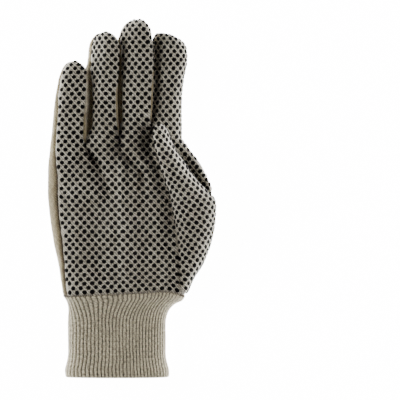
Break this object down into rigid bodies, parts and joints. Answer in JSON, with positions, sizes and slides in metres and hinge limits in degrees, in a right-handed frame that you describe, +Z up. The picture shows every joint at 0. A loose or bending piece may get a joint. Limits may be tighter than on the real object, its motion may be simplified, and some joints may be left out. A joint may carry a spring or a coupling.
{
  "type": "cotton work glove",
  "caption": "Hollow right-hand canvas work glove with a raised-dot palm, plain back, sewn-in thumb and ribbed knit wrist, lying palm up.",
  "frame": {"origin": "middle of the glove's footprint, on the surface that it lies on", "axes": "+Y from the wrist to the fingertips, +Z up out of the palm, +X to the thumb side"},
  "size_m": [0.1214, 0.2588, 0.0393],
  "materials": {
    "dotted_canvas": "cream cotton twill with black raised dots",
    "plain_canvas": "cream cotton twill canvas",
    "dotted_thumb_canvas": "cream cotton twill with black raised dots",
    "rib_knit": "grey-beige rib knit"
  },
  "bodies": {
    "root": {"dotted_palm": "dotted_canvas", "plain_back": "plain_canvas", "dotted_thumb": "dotted_thumb_canvas", "knit_wrist": "rib_knit"}
  },
  "joints": []
}
